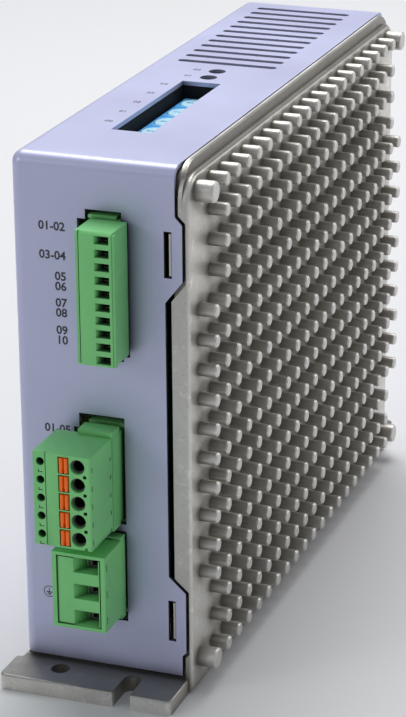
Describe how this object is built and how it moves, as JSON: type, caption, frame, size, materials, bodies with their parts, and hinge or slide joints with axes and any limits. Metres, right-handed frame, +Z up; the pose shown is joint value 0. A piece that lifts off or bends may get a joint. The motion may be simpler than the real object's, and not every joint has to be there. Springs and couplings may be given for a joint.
{
  "type": "stepper motor driver",
  "caption": "Slim upright motor driver box with a pin-fin heatsink side, green pluggable terminal blocks, blue setting switches on top and slotted feet.",
  "frame": {"origin": "centre of the flat mounting face under the base", "axes": "+Z up from the mounting face, +Y from the connector face to the back, +X towards the cooling pins"},
  "size_m": [0.0548, 0.2127, 0.1447],
  "materials": {
    "heatsink": "sand-cast aluminium, fine grain",
    "cover": "pale blue-grey powder coat",
    "cover_screws": "zinc plated",
    "window_frame": "black moulded",
    "insulation_sheet": "translucent insulating film",
    "main_board": "green solder mask",
    "board_standoffs": "nickel-plated brass",
    "board_screws": "zinc plated",
    "power_transistors": "black epoxy",
    "thermal_pads": "grey silicone",
    "bridge_rectifier": "black epoxy",
    "clamp_screws": "zinc plated",
    "bulk_capacitors": "dark sleeved can",
    "choke_core": "ferrite ring",
    "choke_windings": "enamelled copper",
    "transformer_core": "ferrite",
    "transformer_bobbin": "taped winding",
    "film_capacitor": "yellow moulded box",
    "fuse": "plated caps and clips",
    "processor": "black epoxy",
    "board_chips": "black epoxy",
    "switch_board": "green solder mask",
    "rotary_switch_bodies": "blue moulded",
    "dip_switch_body": "blue moulded",
    "status_leds": "tinted lens",
    "signal_header": "green moulded",
    "motor_header": "green moulded",
    "power_header": "green moulded",
    "contact_pins": "tin plated",
    "rotary_rotor": "pale blue moulded",
    "dip_slider": "white moulded",
    "signal_plug_housing": "green moulded",
    "signal_plug_clamps": "nickel plated",
    "motor_plug_housing": "green moulded",
    "motor_plug_springs": "spring steel",
    "power_plug_housing": "green moulded",
    "power_plug_clamps": "nickel plated",
    "signal_plug_screw": "zinc plated",
    "motor_plug_lever": "orange moulded",
    "power_plug_screw": "zinc plated"
  },
  "bodies": {
    "driver": {"heatsink": "heatsink", "cover": "cover", "cover_screws": "cover_screws", "window_frame": "window_frame", "insulation_sheet": "insulation_sheet", "main_board": "main_board", "board_standoffs": "board_standoffs", "board_screws": "board_screws", "power_transistors": "power_transistors", "thermal_pads": "thermal_pads", "bridge_rectifier": "bridge_rectifier", "clamp_screws": "clamp_screws", "bulk_capacitors": "bulk_capacitors", "choke_core": "choke_core", "choke_windings": "choke_windings", "transformer_core": "transformer_core", "transformer_bobbin": "transformer_bobbin", "film_capacitor": "film_capacitor", "fuse": "fuse", "processor": "processor", "board_chips": "board_chips", "switch_board": "switch_board", "rotary_switch_bodies": "rotary_switch_bodies", "dip_switch_body": "dip_switch_body", "status_leds": "status_leds", "signal_header": "signal_header", "motor_header": "motor_header", "power_header": "power_header", "contact_pins": "contact_pins"},
    "rotary_rotor_1": {"rotary_rotor_1": "rotary_rotor"},
    "rotary_rotor_2": {"rotary_rotor_2": "rotary_rotor"},
    "rotary_rotor_3": {"rotary_rotor_3": "rotary_rotor"},
    "rotary_rotor_4": {"rotary_rotor_4": "rotary_rotor"},
    "dip_slider_1": {"dip_slider_1": "dip_slider"},
    "dip_slider_2": {"dip_slider_2": "dip_slider"},
    "dip_slider_3": {"dip_slider_3": "dip_slider"},
    "signal_plug": {"signal_plug_housing": "signal_plug_housing", "signal_plug_clamps": "signal_plug_clamps"},
    "motor_plug": {"motor_plug_housing": "motor_plug_housing", "motor_plug_springs": "motor_plug_springs"},
    "power_plug": {"power_plug_housing": "power_plug_housing", "power_plug_clamps": "power_plug_clamps"},
    "signal_plug_screw_01": {"signal_plug_screw_01": "signal_plug_screw"},
    "signal_plug_screw_02": {"signal_plug_screw_02": "signal_plug_screw"},
    "signal_plug_screw_03": {"signal_plug_screw_03": "signal_plug_screw"},
    "signal_plug_screw_04": {"signal_plug_screw_04": "signal_plug_screw"},
    "signal_plug_screw_05": {"signal_plug_screw_05": "signal_plug_screw"},
    "signal_plug_screw_06": {"signal_plug_screw_06": "signal_plug_screw"},
    "signal_plug_screw_07": {"signal_plug_screw_07": "signal_plug_screw"},
    "signal_plug_screw_08": {"signal_plug_screw_08": "signal_plug_screw"},
    "signal_plug_screw_09": {"signal_plug_screw_09": "signal_plug_screw"},
    "signal_plug_screw_10": {"signal_plug_screw_10": "signal_plug_screw"},
    "motor_plug_lever_1": {"motor_plug_lever_1": "motor_plug_lever"},
    "motor_plug_lever_2": {"motor_plug_lever_2": "motor_plug_lever"},
    "motor_plug_lever_3": {"motor_plug_lever_3": "motor_plug_lever"},
    "motor_plug_lever_4": {"motor_plug_lever_4": "motor_plug_lever"},
    "motor_plug_lever_5": {"motor_plug_lever_5": "motor_plug_lever"},
    "power_plug_screw_1": {"power_plug_screw_1": "power_plug_screw"},
    "power_plug_screw_2": {"power_plug_screw_2": "power_plug_screw"},
    "power_plug_screw_3": {"power_plug_screw_3": "power_plug_screw"}
  },
  "joints": [
    {"name": "rotary_switch_1", "type": "hinge", "parent": "driver", "child": "rotary_rotor_1", "pos_m": [-0.00115, -0.0451, 0.1399], "axis": [0, 0, 1], "continuous": true},
    {"name": "rotary_switch_2", "type": "hinge", "parent": "driver", "child": "rotary_rotor_2", "pos_m": [-0.00115, -0.0351, 0.1399], "axis": [0, 0, 1], "continuous": true},
    {"name": "rotary_switch_3", "type": "hinge", "parent": "driver", "child": "rotary_rotor_3", "pos_m": [-0.00115, -0.0251, 0.1399], "axis": [0, 0, 1], "continuous": true},
    {"name": "rotary_switch_4", "type": "hinge", "parent": "driver", "child": "rotary_rotor_4", "pos_m": [-0.00115, -0.0151, 0.1399], "axis": [0, 0, 1], "continuous": true},
    {"name": "dip_switch_1", "type": "slide", "parent": "driver", "child": "dip_slider_1", "axis": [1, 0, 0], "range_m": [0, 0.0018]},
    {"name": "dip_switch_2", "type": "slide", "parent": "driver", "child": "dip_slider_2", "axis": [1, 0, 0], "range_m": [0, 0.0018]},
    {"name": "dip_switch_3", "type": "slide", "parent": "driver", "child": "dip_slider_3", "axis": [1, 0, 0], "range_m": [0, 0.0018]},
    {"name": "signal_plug_pull", "type": "slide", "parent": "driver", "child": "signal_plug", "axis": [0, -1, 0], "range_m": [0, 0.01]},
    {"name": "motor_plug_pull", "type": "slide", "parent": "driver", "child": "motor_plug", "axis": [0, -1, 0], "range_m": [0, 0.01]},
    {"name": "power_plug_pull", "type": "slide", "parent": "driver", "child": "power_plug", "axis": [0, -1, 0], "range_m": [0, 0.01]},
    {"name": "signal_plug_screw_01_turn", "type": "hinge", "parent": "signal_plug", "child": "signal_plug_screw_01", "pos_m": [0.0005, -0.0969, 0.12795], "axis": [-1, 0, 0], "range_deg": [0, 1080]},
    {"name": "signal_plug_screw_02_turn", "type": "hinge", "parent": "signal_plug", "child": "signal_plug_screw_02", "pos_m": [0.0005, -0.0969, 0.12445], "axis": [-1, 0, 0], "range_deg": [0, 1080]},
    {"name": "signal_plug_screw_03_turn", "type": "hinge", "parent": "signal_plug", "child": "signal_plug_screw_03", "pos_m": [0.0005, -0.0969, 0.12095], "axis": [-1, 0, 0], "range_deg": [0, 1080]},
    {"name": "signal_plug_screw_04_turn", "type": "hinge", "parent": "signal_plug", "child": "signal_plug_screw_04", "pos_m": [0.0005, -0.0969, 0.11745], "axis": [-1, 0, 0], "range_deg": [0, 1080]},
    {"name": "signal_plug_screw_05_turn", "type": "hinge", "parent": "signal_plug", "child": "signal_plug_screw_05", "pos_m": [0.0005, -0.0969, 0.11395], "axis": [-1, 0, 0], "range_deg": [0, 1080]},
    {"name": "signal_plug_screw_06_turn", "type": "hinge", "parent": "signal_plug", "child": "signal_plug_screw_06", "pos_m": [0.0005, -0.0969, 0.11045], "axis": [-1, 0, 0], "range_deg": [0, 1080]},
    {"name": "signal_plug_screw_07_turn", "type": "hinge", "parent": "signal_plug", "child": "signal_plug_screw_07", "pos_m": [0.0005, -0.0969, 0.10695], "axis": [-1, 0, 0], "range_deg": [0, 1080]},
    {"name": "signal_plug_screw_08_turn", "type": "hinge", "parent": "signal_plug", "child": "signal_plug_screw_08", "pos_m": [0.0005, -0.0969, 0.10345], "axis": [-1, 0, 0], "range_deg": [0, 1080]},
    {"name": "signal_plug_screw_09_turn", "type": "hinge", "parent": "signal_plug", "child": "signal_plug_screw_09", "pos_m": [0.0005, -0.0969, 0.09995], "axis": [-1, 0, 0], "range_deg": [0, 1080]},
    {"name": "signal_plug_screw_10_turn", "type": "hinge", "parent": "signal_plug", "child": "signal_plug_screw_10", "pos_m": [0.0005, -0.0969, 0.09645], "axis": [-1, 0, 0], "range_deg": [0, 1080]},
    {"name": "motor_plug_lever_1_press", "type": "slide", "parent": "motor_plug", "child": "motor_plug_lever_1", "axis": [0, 1, 0], "range_m": [0, 0.0015], "stiffness_N_per_m": 800},
    {"name": "motor_plug_lever_2_press", "type": "slide", "parent": "motor_plug", "child": "motor_plug_lever_2", "axis": [0, 1, 0], "range_m": [0, 0.0015], "stiffness_N_per_m": 800},
    {"name": "motor_plug_lever_3_press", "type": "slide", "parent": "motor_plug", "child": "motor_plug_lever_3", "axis": [0, 1, 0], "range_m": [0, 0.0015], "stiffness_N_per_m": 800},
    {"name": "motor_plug_lever_4_press", "type": "slide", "parent": "motor_plug", "child": "motor_plug_lever_4", "axis": [0, 1, 0], "range_m": [0, 0.0015], "stiffness_N_per_m": 800},
    {"name": "motor_plug_lever_5_press", "type": "slide", "parent": "motor_plug", "child": "motor_plug_lever_5", "axis": [0, 1, 0], "range_m": [0, 0.0015], "stiffness_N_per_m": 800},
    {"name": "power_plug_screw_1_turn", "type": "hinge", "parent": "power_plug", "child": "power_plug_screw_1", "pos_m": [-0.0055, -0.0971, 0.0401], "axis": [-1, 0, 0], "range_deg": [0, 1800]},
    {"name": "power_plug_screw_2_turn", "type": "hinge", "parent": "power_plug", "child": "power_plug_screw_2", "pos_m": [-0.0055, -0.0971, 0.0326], "axis": [-1, 0, 0], "range_deg": [0, 1800]},
    {"name": "power_plug_screw_3_turn", "type": "hinge", "parent": "power_plug", "child": "power_plug_screw_3", "pos_m": [-0.0055, -0.0971, 0.0251], "axis": [-1, 0, 0], "range_deg": [0, 1800]}
  ]
}
